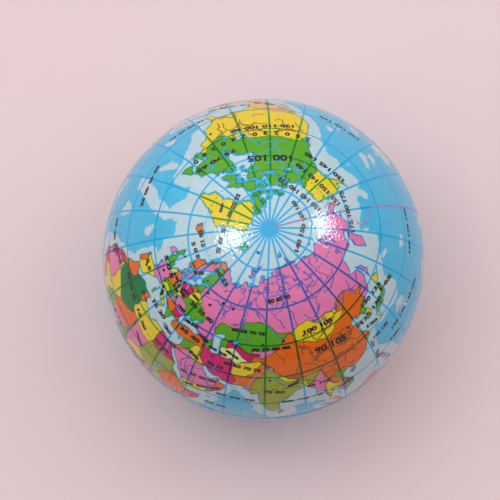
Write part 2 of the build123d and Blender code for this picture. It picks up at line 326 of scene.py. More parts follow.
# Where the sea's pale shelf print spreads beyond the coasts.
SHELVES = """
ArcticOcean -170,63 -140,66 -100,62 -60,56 -45,55 -25,55 0,50 30,55 60,60 100,62 140,62 170,62
BeringSea 162,60 166,56 175,54 -172,54 -160,58 -165,66 178,66
Okhotsk 135,52 143,44 150,48 156,52 160,62 140,62
Mediterranean -6,36 5,44 20,45 42,46 42,40 36,36 34,30 10,30
HudsonBay -96,66 -96,55 -80,50 -64,52 -64,64 -80,68
Bengal 80,22 82,15 90,12 97,10 100,5 104,2 100,16 92,24
GulfOfAlaska -122,38 -130,44 -140,51 -152,51 -165,50 -165,57 -150,62 -135,60 -125,50
AtlanticRidge -45,60 -25,56 -27,48 -30,42 -36,36 -40,28 -45,28 -41,38 -36,44 -32,50 -38,54
SouthChinaSea 105,-6 104,8 108,20 120,30 124,38 124,26 119,14
"""
RIVERS = """
Ob violet 85,52 83,55 77,59 69,61 66,64 69,66.5 72,68
Yenisei violet 93,52 92,56 90,60 88,65 86,69 83,72
Lena violet 107,54 110,58 118,60 126,61 126,65 124,70 127,73
Irtysh violet 84,48 77,52 73,56 69,59
Volga violet 33,57 40,58 47,56 49,54 46,50 47,46.5
Amur violet 116,50.5 122,53.8 130,50 135,49.5 140,53
Kolyma violet 148,62 152,66 160,69
Vilyuy violet 106,65 113,63 121,64
YellowRiver brown 97,35 103,36 107,40.5 111,40 111,35 118,37.5
Yangtze brown 92,34 98,30 103,27 108,30 114,30 120,32
Mekong brown 96,32 99,26 101,19 105,14 106,10
Mississippi brown -95,47 -91,43 -90,38 -91,33 -90,29.5
Missouri brown -111,46 -103,47.5 -97,42 -91,39
Mackenzie blue -117,61 -124,63 -129,67 -134,69
Saskatchewan blue -114,52 -106,53 -99,53.5
Nile blue 32,-1 31,6 32,12 33,18 32,24 31,31
Niger blue -9,11 -4,15 1,16 4,11 6,5
Congo blue 27,-9 25,0 20,2 16,-4 12.5,-6
Amazon blue -74,-8 -73,-4 -65,-3 -56,-2.5 -50,-0.5
Parana blue -48,-20 -54,-24 -58,-28 -60,-33
Ganges blue 78,30 82,25.5 88,25 90,22.5
Indus blue 77,34 72,33 69,27 67.5,24
"""
# Short seeded streams and ridge lines: ink, how many, their longitudes and their latitudes.
STREAMS = [
    ("violet", 40, (38, 172), (52, 73)),
    ("brown", 26, (78, 122), (25, 50)),
    ("brown", 14, (-122, -78), (31, 47)),
    ("blue", 15, (-135, -62), (48, 68)),
    ("violet", 10, (38, 56), (16, 30)),
    ("blue", 16, (4, 32), (40, 68)),
    ("brown", 10, (-70, -45), (-30, 4)),
    ("brown", 12, (12, 40), (-30, 24)),
]
DATE_LINE = "180,88 180,72 -170,66.5 -170,64.5 180,62 172,58 168.5,53 180,48 180,1"
DATE_LINE_SOUTH = "180,-1 180,-88"

# Degree numbers where a globe has names. The digits, then longitude, latitude, width and height in
# mm, and the turn in degrees from the parallel.
NUMBERS = """
80 85 90: 84.5 63.5 4.4 0.8 7
60 65 70 75: 65 50.5 6.5 0.7 3
30 35 40: 35.5 50.5 5.7 0.9 -4
35 40: 37 39.5 4.7 0.9 -1
50 55: 53.5 32 3.4 0.9 0
60 65 70 75: 65 34.5 7.4 0.8 -3
70 75 80 85: 77.5 43.5 7.6 0.7 4
75 80: 78.5 22 4.2 0.85 -5
60 65 70: 64 17 7.8 0.8 0
0 0 5: 2 28.5 5.6 0.9 -8
15 20: 18 37 4.2 0.85 -2
30: 27.5 34 2 0.8 -14
15 20: 16 25.5 4.5 0.85 -23
40 45 50 55: 48 22.5 7.7 0.75 13
45 50 55: 50.5 17.5 8.2 0.7 28
30 35: 29.5 25 4 0.85 -5
45: 42.5 32.5 3.4 0.75 -23
5 5: -3.5 41 2.3 0.8 -1
5 0 5: 2 50 4.6 0.8 -3
5 0 5: -2 62.5 3.4 0.75 5
10 15: -10 65.5 3.4 0.75 4
35: 34.5 44 3.6 0.65 10
15 10: -12.5 23.5 4.2 0.8 25
20: 20.5 16 3.8 0.8 -40
30 35: 30.5 66 4.1 0.75 -13
15 20: 17 50.5 3.4 0.75 -2
50 55: 52.5 39 4 0.65 -7
100 105: 103.5 47.5 6.2 0.9 -3
90 105: 105.5 37.5 6.8 1.4 -6
95 100: 96 21.5 5.1 0.8 -5
85: 86 25 2.4 0.7 23
85 90 95: 89 15 8.5 0.75 -4
125 130: 129.5 36.5 6.6 0.9 -1
130 135: 134.5 41 6 0.9 -10
145: 143.5 37 4.1 0.9 -20
120: 126 32 2.9 0.75 -18
120 125: 127 25.5 4.3 0.75 -5
135 140 145 150: 142 19.5 11.4 0.8 -8
130: 131 15.5 3 0.75 -9
105: 106.5 14 3.1 0.75 15
175 180 175: 179.5 59.5 8.4 0.9 0
150 145 140: -143.5 56.5 9.2 0.9 4
150 145 140 135: -143 73 10 0.9 1
155 150 145 140: -149.5 64.5 11.4 0.9 1
100 105: -104.5 61 8.6 1.35 3
120 110 100 90: -101.5 43.5 12.2 0.9 4
75 70 65: -70.5 53.5 8.7 0.85 -5
75 70 65 60: -71 26 8 0.75 -5
95 90 85 80: -90 22 8.2 0.75 -18
55 50 45: -51.5 74 5 0.8 12
40: -43 70.5 2.2 0.6 12
5 0 5: -4 72.5 5.2 0.8 -27
140 150: 147 78.5 5.7 0.8 0
165 160: -162 78 4.4 0.8 -4
10: 9.5 51.5 2 0.55 0
15: 15 49 1.8 0.5 0
20: 20 52 2 0.55 10
25: 25.5 46 2 0.5 0
25: 26.5 53.5 1.9 0.55 0
10: 11.5 43.5 2.2 0.5 -50
15: 15.5 60.5 2.2 0.6 55
10 10: 9 34 2.2 0.55 -10
45: 44 41.5 2.4 0.55 -20
60: 59.5 39.5 3.2 0.6 -25
50 45 40 35: -42 34 9 0.8 6
25 20 15: -21 20 7 0.8 0
165 170 175: 170 27 9 0.8 0
140 135 130: -136 28 9 0.8 0
5 10: 8 9 3.6 0.8 0
20 25: 23 3.5 4 0.8 0
70 65: -66 6.5 3.6 0.7 0
100 105: -103.5 23.5 4.4 0.8 -30
160 150 140: -151 12 11 0.9 0
55 60: 57 8 4.4 0.8 0
20 25: 22.5 -5 4 0.8 0
15 20: 18 -12 3.8 0.8 0
30 35: 35 -6.5 3.4 0.7 0
20 30: 24.5 -29.5 4.6 0.8 0
45: 47 -19 2.2 0.7 70
65 60 55 50: -55 -10.5 9 1.2 0
65 60: -64.5 -34.5 3.6 0.8 -70
75: -75.5 -10 2.6 0.7 -50
65: -64.5 -17 2.6 0.7 0
125 130 135: 134 -25 9.4 1.3 0
170 175: 174.5 -44.5 4.2 0.7 40
140 145: 142.5 -6 3.8 0.6 -10
105 110: 107 -13 5.4 0.8 -8
30 20 10 0: -18 -22 11 0.9 0
70 75 80 85: 78 -22 10 0.9 0
130 120 110: -120 -24 11 0.9 0
150 160 170: 160 -34 7 0.8 0
0 30 60 90: 40 -56 13 0.9 0
160 140 120: -140 -52 12 0.9 0
60 40 20: -40 -58 9 0.8 0
90: 90 -81 5 1.1 0
"""
# A line of widely spaced single digits crosses the northern continent.
SPREAD_DIGITS = "250230240260"
SPREAD_FIRST, SPREAD_LAST, SPREAD_LATITUDE = -126, -62, 47.8
SPREAD_WIDTH, SPREAD_HEIGHT = 0.95, 1.0
# Small black squares and triangles, as on a globe's towns and peaks.
SQUARES = """
44,58.4 52,58 84,46.4 31,58.2 37,55 116,39 -4,40 13,52.4 2.4,47.5 21,50 19,47.4 12.6,42 -99,19.5 -77,39
31,30 77,28.5 -47,-16 -58,-34.5 28,-26 149,-35.3 36.8,-1.5 106.8,-6.4 -70.7,-33.3 100.5,13.8
"""
TRIANGLES = "73.5,45.8 104.6,45.7 94.6,46.6 0,58 51,36 24.5,61.5 8,46.3 -70,-16 30,-15"
SQUARE_CORNERS = "-0.27,-0.27 0.27,-0.27 0.27,0.27 -0.27,0.27"
TRIANGLE_CORNERS = "-0.32,-0.25 0.32,-0.25 0,0.32"


def rows(table):
    """The rows of a table."""
    return table.strip().replace("\n ", " ").split("\n")


def outline(corners):
    """The pairs of numbers in a text such as "12.5,38 14,40"."""
    return [tuple(float(number) for number in corner.split(",")) for corner in corners.split()]


def plain(table):
    """The outlines of a table without inks."""
    return [outline(row.split(maxsplit=1)[1]) for row in rows(table)]


def inked(table):
    """The rows of a table with inks, as (ink, outline)."""
    parts = [row.split(maxsplit=2) for row in rows(table)]
    return [(ink, outline(corners)) for _, ink, corners in parts]


# ---------------------------------------------------------------- how the map lies on the ball
# The film was printed flat and formed hot: it spread towards each pole and pulled a little oval.
QUARTER = math.pi / 2
POLE_SPREAD = 0.1245
OVALNESS = 0.038
OVAL_AXIS = math.radians(16.6)
UNFORM_ROUNDS = 8


def unit(lon, lat):
    """Unit vectors in the ball's axes: longitude 0 looks along -Y and the north pole along +Z."""
    lon, lat = np.radians(lon), np.radians(lat)
    return np.stack([np.sin(lon) * np.cos(lat), -np.cos(lon) * np.cos(lat), np.sin(lat)], -1)


def unit_rows(vectors):
    """The vectors, one a row, at length 1."""
    return vectors / np.linalg.norm(vectors, axis=-1, keepdims=True)


def form(colatitude, longitude):
    """Where a place of the flat print ends up on the formed film."""
    share = colatitude / QUARTER
    oval = OVALNESS * (1 - share**2)
    turn = 2 * (longitude - OVAL_AXIS)
    spread = 1 - POLE_SPREAD * colatitude * (1 - share)
    return colatitude * spread * (1 + oval * np.cos(turn)), longitude - oval * np.sin(turn)


def unform(colatitude, longitude):
    """The place of the flat print that form() brings to a place on the film."""
    flat_colatitude, flat_longitude = colatitude, longitude
    for _ in range(UNFORM_ROUNDS):
        formed = form(flat_colatitude, flat_longitude)
        flat_colatitude = flat_colatitude + colatitude - formed[0]
        flat_longitude = flat_longitude + longitude - formed[1]
    return flat_colatitude, flat_longitude


def polar(directions):
    """Colatitude from the nearer pole, longitude and hemisphere (1 or -1) of each direction."""
    colatitude = np.arccos(np.clip(np.abs(directions[:, 2]), 0, 1))
    return colatitude, np.arctan2(directions[:, 0], -directions[:, 1]), np.sign(directions[:, 2] + TINY)


def from_polar(colatitude, longitude, hemisphere):
    """The direction that polar() describes."""
    across = np.sin(colatitude)
    along = hemisphere * np.cos(colatitude)
    return np.stack([across * np.sin(longitude), -across * np.cos(longitude), along], -1)


def map_of(directions):
    """The map place, as a unit vector, printed at each direction from the ball's middle."""
    colatitude, longitude, hemisphere = polar(directions)
    return from_polar(*unform(colatitude, longitude), hemisphere)


def ball_of(places):
    """The direction at which each map place, a unit vector, is printed."""
    colatitude, longitude, hemisphere = polar(places)
    return from_polar(*form(colatitude, longitude), hemisphere)


# ---------------------------------------------------------------- smooth randomness
def waves(directions, size_mm, seed, count=9):
    """A smooth random field of about -1 to 1 whose hills are about size_mm apart."""
    random = np.random.default_rng(seed)
    total = np.zeros(len(directions))
    for _ in range(count):
        heading = unit_rows(random.normal(size=3))
        beat = 2 * math.pi * RADIUS_MM / size_mm * random.uniform(0.7, 1.4)
        total += np.sin(directions @ heading * beat + random.uniform(0, 2 * math.pi))
    return total / math.sqrt(count)


def crooked(directions, size_mm, depth_mm, seed):
    """The directions, each pushed aside by a smooth random shift of about depth_mm."""
    shift = np.stack([waves(directions, size_mm, seed + axis) for axis in range(3)], -1)
    return unit_rows(directions + shift * np.reshape(depth_mm, (-1, 1)) / RADIUS_MM)


# Out-of-roundness in mm: wide hills, closer hills, and how far all of it lies within the radius.
WIDE_HILLS, CLOSE_HILLS, SUNK = 0.09, 0.035, 0.04


def skin(directions):
    """The film's outer radius in each direction: a hand-filled mould is never quite round."""
    wide = WIDE_HILLS * waves(directions, 60, seed=11)
    close = CLOSE_HILLS * waves(directions, 22, seed=12)
    return RADIUS + MM * (wide + close - SUNK)


STREAM_STEP = 1.9  # degrees
STREAM_TURN = 0.7  # radians


def streams():
    """The seeded streams as (ink, line): each turns a little at every step."""
    random = np.random.default_rng(seed=61)
    made = []
    for ink, count, lons, lats in STREAMS:
        for _ in range(count):
            lon, lat = random.uniform(*lons), random.uniform(*lats)
            heading = random.uniform(0, 2 * math.pi)
            line = [(lon, lat)]
            for _ in range(random.integers(2, 6)):
                heading += random.normal(0, STREAM_TURN)
                lon += STREAM_STEP * math.cos(heading) / math.cos(math.radians(lat))
                lat += STREAM_STEP * math.sin(heading)
                line.append((lon, lat))
            made.append((ink, line))
    return made


# ---------------------------------------------------------------- distances on the map, in mm
def flat_about(middle, places):
    """The places on a plane that touches the map at middle, with true distances from it."""
    side = unit_rows(np.cross((0.3, 0.2, 1.0), middle))
    angle = np.arccos(np.clip(places @ middle, -1, 1))
    stretch = RADIUS_MM * angle / np.maximum(np.sin(angle), TINY)
    return np.stack([places @ side * stretch, places @ np.cross(middle, side) * stretch], -1)


def near_outline(points, places, reach):
    """An outline and the places within reach of it on its own plane, and which places those are."""
    corners = unit(*np.array(points, float).T)
    middle = unit_rows(corners.mean(0))
    widest = np.arccos(np.clip((corners @ middle).min(), -1, 1)) + reach / RADIUS_MM
    near = places @ middle > math.cos(min(widest, math.pi))
    return flat_about(middle, corners), flat_about(middle, places[near]), near


def inside_by(points, places, reach):
    """How far each place is inside a closed outline, or outside as a negative number, to -reach."""
    corners, spots, near = near_outline(points, places, reach)
    inside = np.zeros(len(spots), bool)
    gap = np.full(len(spots), FAR)
    for start, end in zip(corners, np.roll(corners, -1, 0)):
        edge = end - start
        along = np.clip((spots - start) @ edge / (edge @ edge), 0, 1)
        gap = np.minimum(gap, np.hypot(*(spots - start - along[:, None] * edge).T))
        crosses = (start[1] > spots[:, 1]) != (end[1] > spots[:, 1])
        level = (spots[:, 1] - start[1]) / (edge[1] if edge[1] else TINY)
        inside ^= crosses & (spots[:, 0] < start[0] + level * edge[0])
    result = np.full(len(places), -float(reach))
    result[near] = np.maximum(np.where(inside, gap, -gap), -reach)
    return result


def beside(points, places, reach):
    """How far each place is from an open line, and how far left (+) or right (-) of it."""
    line, spots, near = near_outline(points, places, reach)
    gap, side = np.full((2, len(places)), float(reach))
    near_gap, near_side = np.full((2, len(spots)), float(reach))
    for start, end in zip(line, line[1:]):
        edge = end - start
        length = math.hypot(*edge)
        along = np.clip((spots - start) @ edge / length**2, 0, 1)
        away = np.hypot(*(spots - start - along[:, None] * edge).T)
        across = (edge[0] * (spots[:, 1] - start[1]) - edge[1] * (spots[:, 0] - start[0])) / length
        closer = away < near_gap
        near_gap[closer] = away[closer]
        near_side[closer] = across[closer]
    gap[near], side[near] = near_gap, near_side
    return gap, side


# ---------------------------------------------------------------- the inks
def srgb(red, green, blue):
    """A colour given as an eye reads it, 0 to 255, as the shader's linear colour."""
    shares = [value / 255 for value in (red, green, blue)]
    linear = [share / 12.92 if share <= 0.04045 else ((share + 0.055) / 1.055) ** 2.4 for share in shares]
    return (*linear, 1.0)


LAND_INKS = {
    "pink": srgb(232, 128, 178),
    "orange": srgb(236, 112, 34),
    "yellow": srgb(238, 210, 46),
    "green": srgb(96, 172, 44),
    "forest": srgb(22, 128, 66),
    "magenta": srgb(216, 40, 112),
    "olive": srgb(158, 172, 48),
    "straw": srgb(240, 232, 150),
    "peach": srgb(240, 186, 128),
    "ice": srgb(232, 236, 238),
}
WITH_YELLOW = ("orange", "yellow", "green", "forest", "olive")
RIVER_INKS = {"blue": srgb(50, 168, 226), "violet": srgb(92, 96, 184), "brown": srgb(128, 88, 40)}
SHALLOW_SEA = srgb(190, 217, 226)
DEEP_SEA = srgb(84, 192, 232)
CYAN_INK = srgb(62, 190, 248)
SEA_LINE_INK = srgb(0, 172, 228)
YELLOW_SPREAD = srgb(250, 240, 120)
BARE_FILM = srgb(214, 226, 228)

# ---------------------------------------------------------------- the printed map, as fields
# How far from its outlines each field is worked out, in mm.
COAST_REACH = 7.0
BORDER_REACH = 1.5
RIVER_REACH = 0.8
# The pale shelf along every coast, how far its edge wanders and how far the shelves in SHELVES reach
# past their outlines, in mm.
SHELF, SHELF_WANDER, SHELF_MARGIN = 2.2, 1.1, 0.3
RIDGE_LEVEL = 1.35  # how high the sea bed's waves have to be for a pale ridge
COAST_HALF_WIDTH = 0.14  # half the width of a coast's line, in mm
# Where coasts are thick with islands: longitude, latitude, reach in radians, fade and extra width.
ISLAND_SEAS = [(-88, 69, 0.42, 0.05, 0.07), (19, 60, 0.22, 0.01, 0.06)]
# How crooked outlines are, in mm: in long bends, in short bends, and in short bends added in the north.
LONG_BENDS, SHORT_BENDS, NORTHERN_BENDS = 0.22, 0.09, 0.17
NORTHERN_FROM, NORTHERN_FADE = 0.86, 0.06  # sines of latitude


def wandering(places):
    """The places, shifted so that straight outlines come out a little crooked."""
    northern = np.clip((places[:, 2] - NORTHERN_FROM) / NORTHERN_FADE, 0, 1)
    bent = crooked(places, 4.0, LONG_BENDS, seed=21)
    return crooked(bent, 1.6, SHORT_BENDS + NORTHERN_BENDS * northern, seed=31)


def coast_width(places):
    """Half the width of the coast's line, in mm."""
    width = COAST_HALF_WIDTH
    for lon, lat, reach, fade, extra in ISLAND_SEAS:
        closeness = places @ unit([lon], [lat])[0]
        width = width + extra * np.clip((closeness - math.cos(reach)) / fade, 0, 1)
    return width


def deep_sea(land, spots):
    """How far each place is inside the deep sea: past the shelves, and between pale seeded ridges."""
    deep = -land - SHELF + SHELF_WANDER * waves(spots, 14, seed=41)
    for edge in plain(SHELVES):
        deep = np.minimum(deep, -inside_by(edge, spots, BORDER_REACH) - SHELF_MARGIN)
    ridges = waves(spots * (1.0, 0.45, 1.0), 7, seed=42) + 0.6 * waves(spots, 3.5, seed=43)
    return np.minimum(deep, RIDGE_LEVEL - ridges)


def river_fields(spots):
    """The distances to the nearest river, and the number of its ink."""
    gap, side = np.full((2, len(spots)), RIVER_REACH)
    tint = np.zeros(len(spots))
    for ink, line in inked(RIVERS) + streams():
        away, across = beside(line, spots, RIVER_REACH)
        closer = away < gap
        gap[closer] = away[closer]
        side[closer] = across[closer]
        tint[closer] = list(RIVER_INKS).index(ink)
    return {"river": side, "river_gap": gap, "river_tint": tint}


def printed_fields(places):
    """How far each vertex is inside each ink's area, in mm, with the land, the deeps and the rivers."""
    spots = wandering(places)
    land = np.full(len(places), -COAST_REACH)
    inks = {ink: np.full(len(places), -COAST_REACH) for ink in LAND_INKS}
    for ink, coast in inked(COASTS):
        inside = inside_by(coast, spots, COAST_REACH)
        inks[ink] = np.maximum(inks[ink], inside)
        land = np.maximum(land, inside)
    for shore in plain(LAKES):
        land = np.minimum(land, -inside_by(shore, spots, BORDER_REACH))
    for ink, border in inked(REGIONS):
        inside = np.minimum(inside_by(border, spots, BORDER_REACH), land)
        for other in LAND_INKS:
            if other != ink:
                inks[other] = np.minimum(inks[other], -inside)
        inks[ink] = np.maximum(inks[ink], inside)
    fields = {ink: np.minimum(inks[ink], land) for ink in LAND_INKS}
    fields["deep"] = deep_sea(land, spots)
    fields["land"] = land
    fields["coast_width"] = coast_width(places)
    return fields | river_fields(spots)


# ---------------------------------------------------------------- meshes
def ring_directions(rings, last_colatitude):
    """A pole and then rings of 6, 12, 18 ... directions out to last_colatitude."""
    colatitude, longitude = [0.0], [0.0]
    for ring in range(1, rings + 1):
        colatitude += [last_colatitude * ring / rings] * (6 * ring)
        longitude += list(2 * math.pi * np.arange(6 * ring) / (6 * ring))
    return np.array(colatitude), np.array(longitude)


def ring_start(ring):
    """The number of the first vertex of a ring."""
    return 1 + 3 * ring * (ring - 1) if ring else 0


def cap_faces(rings, first=0):
    """The triangles between the rings of ring_directions()."""
    faces = []
    for ring in range(rings):
        inner, outer = first + ring_start(ring), first + ring_start(ring + 1)
        inner_count, outer_count = max(6 * ring, 1), 6 * (ring + 1)
        for sector in range(6):
            for step in range(ring + 1):
                a = inner + (sector * ring + step) % inner_count
                b = outer + (sector * (ring + 1) + step) % outer_count
                c = outer + (sector * (ring + 1) + step + 1) % outer_count
                faces.append((a, b, c))
                if step < ring:
                    faces.append((a, c, inner + (sector * ring + step + 1) % inner_count))
    return faces


def turned_over(faces):
    """The faces looking the other way."""
    return [face[::-1] for face in faces]


def band_faces(lower, upper, count):
    """The quads between two rings of the same count."""
    return [(lower + i, lower + (i + 1) % count, upper + (i + 1) % count, upper + i) for i in range(count)]


def stitch_faces(fine, coarse, coarse_count, ratio):
    """The triangles between a fine ring and a coarse ring with one vertex for every ratio."""
    faces = []
    fine_count = coarse_count * ratio
    for i in range(coarse_count):
        near, far = coarse + i, coarse + (i + 1) % coarse_count
        for step in range(ratio):
            a = fine + (i * ratio + step) % fine_count
            b = fine + (i * ratio + step + 1) % fine_count
            faces.append((a, b, near if step < ratio // 2 else far))
            if step == ratio // 2:
                faces.append((a, far, near))
    return faces


def make_object(name, vertices, faces):
    """A smooth-shaded mesh object from vertices in metres and faces."""
    mesh = bpy.data.meshes.new(name)
    mesh.from_pydata([tuple(v) for v in vertices], [], faces)
    mesh.validate()
    mesh.polygons.foreach_set("use_smooth", np.ones(len(mesh.polygons), bool))
    made = bpy.data.objects.new(name, mesh)
    bpy.context.scene.collection.objects.link(made)
    return made


def add_fields(made, fields):
    """Stores each field on the object's vertices, one number or one vector each."""
    for name, values in fields.items():
        kind, slot = ("FLOAT_VECTOR", "vector") if values.ndim == 2 else ("FLOAT", "value")
        attribute = made.data.attributes.new(name, kind, "POINT")
        attribute.data.foreach_set(slot, values.astype(np.float32).ravel())


FILM_RINGS = 150
FILM_INSIDE_RATIO = 5
RIM_ROLL = [(0.06, 0.035), (0.16, 0.05), (0.30, 0.05)]  # mm in and towards the seam


def film_half(name, hemisphere):
    """Half of the printed film: a fine printed outside, a rolled rim at the seam and a coarse inside."""
    lip = RIM_ROLL[-1][1] * MM
    rim_angle = QUARTER - math.asin((SEAM_HALF_GAP + lip) / RADIUS)
    outward = from_polar(*ring_directions(FILM_RINGS, rim_angle), hemisphere)
    points = [outward * skin(outward)[:, None]]
    faces = cap_faces(FILM_RINGS)
    count = 6 * FILM_RINGS
    rim = outward[-count:]
    before = ring_start(FILM_RINGS)
    total = len(outward)
    for inwards, closer in RIM_ROLL:
        ring = rim * (skin(rim) - inwards * MM)[:, None]
        ring[:, 2] -= hemisphere * closer * MM
        points.append(ring)
        faces += band_faces(before, total, count)
        before = total
        total += count
    inner_rings = FILM_RINGS // FILM_INSIDE_RATIO
    inner = from_polar(*ring_directions(inner_rings, rim_angle), hemisphere)
    points.append(inner * (skin(inner) - FILM)[:, None])
    faces += turned_over(cap_faces(inner_rings, total))
    faces += stitch_faces(before, total + ring_start(inner_rings), 6 * inner_rings, FILM_INSIDE_RATIO)
    points = np.concatenate(points)
    directions = unit_rows(points)
    places = map_of(directions)
    fields = printed_fields(places)
    fields["map_place"] = places
    fields["on_ball"] = directions * RADIUS_MM
    fields["depth"] = (skin(directions) - np.linalg.norm(points, axis=1)) / MM
    points[:, 2] = np.maximum(points[:, 2] + SEAM_LEVEL, 0.0)
    made = make_object(name, points, turned_over(faces) if hemisphere < 0 else faces)
    add_fields(made, fields)
    return made


CORE_RINGS = 60
FLASH_RAGGED = 0.06  # mm


def foam_core():
    """The moulded foam: two hemispheres and the thin flash that stands up in the seam."""
    rim_angle = QUARTER - math.asin(FLASH_HALF / CORE_RADIUS)
    colatitude, longitude = ring_directions(CORE_RINGS, rim_angle)
    count = 6 * CORE_RINGS
    points, faces, total, edges = [], [], 0, []
    for hemisphere in (1, -1):
        outward = from_polar(colatitude, longitude, hemisphere)
        reach = skin(outward) - (RADIUS - CORE_RADIUS)
        points.append(outward * reach[:, None])
        cap = cap_faces(CORE_RINGS, total)
        faces += cap if hemisphere > 0 else turned_over(cap)
        edges.append(total + ring_start(CORE_RINGS))
        total += len(outward)
    rim = from_polar(np.full(count, QUARTER), longitude[-count:], 1)
    ragged = FLASH_RADIUS - MM * np.abs(FLASH_RAGGED * waves(rim, 5, seed=51))
    for level in (FLASH_HALF, -FLASH_HALF):
        ring = rim * ragged[:, None]
        ring[:, 2] = level
        points.append(ring)
    faces += band_faces(total, edges[0], count)[::-1]
    faces += band_faces(total + count, total, count)
    faces += band_faces(edges[1], total + count, count)
    points = np.concatenate(points)
    directions = unit_rows(points)
    points[:, 2] = np.maximum(points[:, 2] + SEAM_LEVEL, CORE_LOW.z)
    made = make_object("foam_core_moulded", points, faces)
    add_fields(made, {"on_ball": directions * RADIUS_MM})
    return made


# ---------------------------------------------------------------- raised overprints
PROUD = 0.014  # mm, the thickness of the raised inks
FATTER = 0.052  # thickens the strokes, most in small digits
TALLER = 1.15  # stretches the digits along the meridian


def on_film(directions):
    """Points on the raised ink in these directions."""
    points = directions * (skin(directions) + PROUD * MM)[:, None]
    points[:, 2] += SEAM_LEVEL
    return points


def about(middle, spots):
    """Directions at flat spots, in mm east and north, about a direction on the ball."""
    east = unit_rows(np.cross((0.0, 0.0, 1.0), middle))
    north = np.cross(middle, east)
    away = np.hypot(*spots.T)
    angle = away / RADIUS_MM
    heading = (spots[:, :1] * east + spots[:, 1:] * north) / np.maximum(away, TINY)[:, None]
    return np.cos(angle)[:, None] * middle + np.sin(angle)[:, None] * heading


def numeral(digits, lon, lat, width, height, turn=0.0):
    """The faces of a row of printed digits, sizes in mm, turned in degrees from the parallel."""
    curve = bpy.data.curves.new("numeral", "FONT")
    curve.body = digits
    curve.offset = FATTER / height
    curve.resolution_u = 3
    holder = bpy.data.objects.new("numeral", curve)
    bpy.context.scene.collection.objects.link(holder)
    bpy.context.view_layer.update()
    mesh = bpy.data.meshes.new_from_object(holder)
    spots = np.array([vertex.co[:2] for vertex in mesh.vertices])
    faces = [tuple(face.vertices) for face in mesh.polygons]
    bpy.data.objects.remove(holder)
    bpy.data.curves.remove(curve)
    bpy.data.meshes.remove(mesh)
    low, high = spots.min(0), spots.max(0)
    spots = (spots - (low + high) / 2) / (high - low) * (width, height * TALLER)
    turned = math.radians(turn)
    spots = spots @ [[math.cos(turned), math.sin(turned)], [-math.sin(turned), math.cos(turned)]]
    return on_film(about(ball_of(unit([lon], [lat]))[0], spots)), faces


def patch(lon, lat, corners):
    """One flat face with corners in mm east and north of a map place."""
    middle = ball_of(unit([lon], [lat]))[0]
    return on_film(about(middle, np.array(corners))), [tuple(range(len(corners)))]


TRAIL_STEP = 0.1
DASH_WIDTH, DASH_LENGTH, DASH_SPACE = 0.26, 1.3, 0.9
DASH_QUADS = 4


def dashes(line):
    """Dashes along a line of map places, each a run of short quads across it. Sizes are in mm."""
    corners = unit(*np.array(line).T)
    steps = []
    for start, end in zip(corners, corners[1:]):
        count = max(int(math.acos(np.clip(start @ end, -1, 1)) * RADIUS_MM / TRAIL_STEP), 2)
        share = np.linspace(0, 1, count, endpoint=False)[:, None]
        steps.append(unit_rows(start * (1 - share) + end * share))
    trail = ball_of(np.concatenate(steps))
    gone = np.linalg.norm(np.diff(trail, axis=0), axis=1).cumsum() * RADIUS_MM
    parts = []
    begin = 0.0
    while begin + DASH_LENGTH < gone[-1]:
        stops = [begin + DASH_LENGTH * part / DASH_QUADS for part in range(DASH_QUADS + 1)]
        middle = trail[np.searchsorted(gone, stops)]
        across = unit_rows(np.cross(middle, unit_rows(middle[-1] - middle[0]))) * DASH_WIDTH / 2 / RADIUS_MM
        sides = np.concatenate([unit_rows(middle + across), unit_rows(middle - across)])
        other = DASH_QUADS + 1
        quads = [(other + i, other + i + 1, i + 1, i) for i in range(DASH_QUADS)]
        parts.append((on_film(sides), quads))
        begin += DASH_LENGTH + DASH_SPACE
    return gather(parts)


def gather(parts):
    """Several (points, faces) as one."""
    points, faces, first = [], [], 0
    for part_points, part_faces in parts:
        points.append(part_points)
        faces += [tuple(first + i for i in face) for face in part_faces]
        first += len(part_points)
    return np.concatenate(points), faces


def split_by_half(parts):
    """The parts of the northern and of the southern half."""
    northern = [part for part in parts if part[0][:, 2].mean() > SEAM_LEVEL]
    southern = [part for part in parts if part[0][:, 2].mean() <= SEAM_LEVEL]
    return northern, southern


# ---------------------------------------------------------------- material helpers
class Result:
    """What a shader node gives. Ordinary signs work on it, so that a material reads like arithmetic."""

    def __init__(self, tree, socket):
        self.tree = tree
        self.socket = socket

    def by(self, operation, *others):
        return work("ShaderNodeMath", dict(enumerate((self, *others))), operation=operation)

    def __rsub__(self, other):
        return work("ShaderNodeMath", {0: other, 1: self}, operation="SUBTRACT")

    __add__ = partialmethod(by, "ADD")
    __sub__ = partialmethod(by, "SUBTRACT")
    __mul__ = partialmethod(by, "MULTIPLY")
    __gt__ = partialmethod(by, "GREATER_THAN")
    __lt__ = partialmethod(by, "LESS_THAN")
    __abs__ = partialmethod(by, "ABSOLUTE")


def add(tree, kind, inputs=None, **settings):
    """A new node with its settings, and its inputs as numbers, colours or other nodes' results."""
    node = tree.nodes.new(kind)
    for name, value in settings.items():
        setattr(node, name, value)
    for name, value in (inputs or {}).items():
        if isinstance(value, Result):
            tree.links.new(value.socket, node.inputs[name])
        else:
            node.inputs[name].default_value = value
    return node


def work(kind, inputs, output=0, **settings):
    """The result of a new node that works on other results."""
    tree = next(value.tree for value in inputs.values() if isinstance(value, Result))
    return Result(tree, add(tree, kind, inputs, **settings).outputs[output])


def feed(node, name, value):
    """Joins a result to a node's input."""
    value.tree.links.new(value.socket, node.inputs[name])


def smaller(first, second):
    """The smaller of two numbers."""
    return first.by("MINIMUM", second)


def larger(first, second):
    """The larger of two numbers."""
    return first.by("MAXIMUM", second)


def mix(share, first, second, blend="MIX"):
    """Two colours mixed."""
    inputs = {0: share, 6: first, 7: second}
    return work("ShaderNodeMix", inputs, 2, data_type="RGBA", blend_type=blend)


def field(tree, name, output="Fac"):
    """A field of add_fields()."""
    return Result(tree, add(tree, "ShaderNodeAttribute", attribute_name=name).outputs[output])


